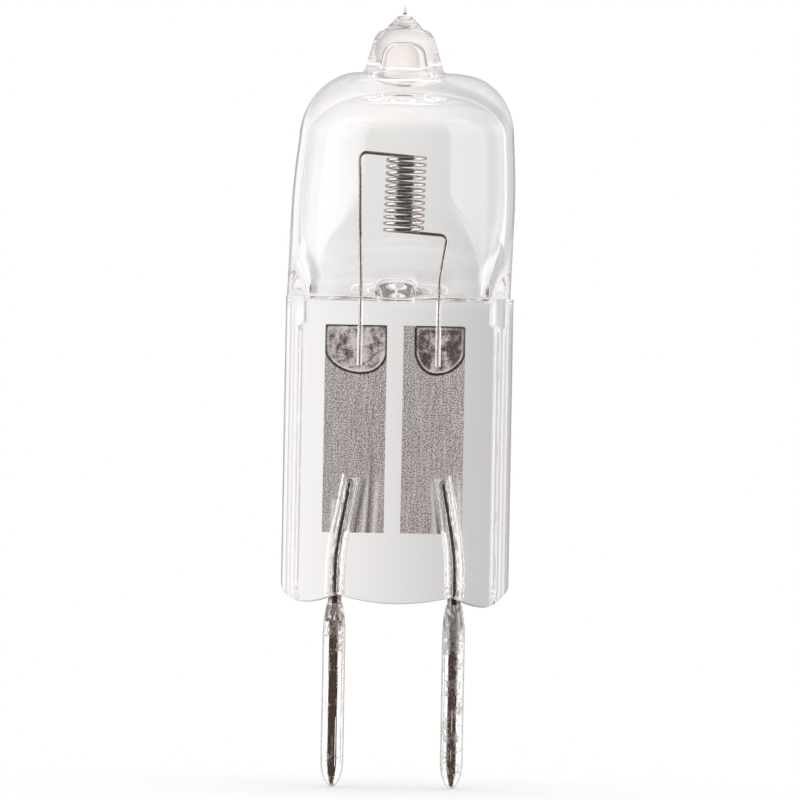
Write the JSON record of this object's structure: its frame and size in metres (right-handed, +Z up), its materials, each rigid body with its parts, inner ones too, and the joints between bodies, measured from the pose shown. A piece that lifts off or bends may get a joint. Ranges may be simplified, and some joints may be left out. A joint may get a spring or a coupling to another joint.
{
  "type": "halogen capsule bulb",
  "caption": "Clear quartz capsule bulb with a pointed exhaust tip, an upright coiled filament, sealing foils in a flat pinch, and plug-in contact pins.",
  "frame": {"origin": "midway between the contact pins, on the bulb's axis, at the underside of the glass", "axes": "+Z up the bulb's axis to the exhaust tip, X from pin to pin, Y through the flat of the pinch"},
  "size_m": [0.012, 0.0118, 0.0416],
  "materials": {
    "quartz": "clear fused quartz, fire-polished on the bulb, pressed on the pinch",
    "tungsten": "bare drawn tungsten wire",
    "molybdenum_foil": "thin rolled molybdenum, matte with fine lengthwise streaks",
    "lead_wire": "bare molybdenum wire",
    "plated_pin": "smooth nickel plating"
  },
  "bodies": {
    "root": {"quartz_envelope": "quartz", "filament": "tungsten", "foil_left": "molybdenum_foil", "foil_right": "molybdenum_foil", "lead_wire_left": "lead_wire", "lead_wire_right": "lead_wire", "contact_pin_left": "plated_pin", "contact_pin_right": "plated_pin"}
  },
  "joints": []
}
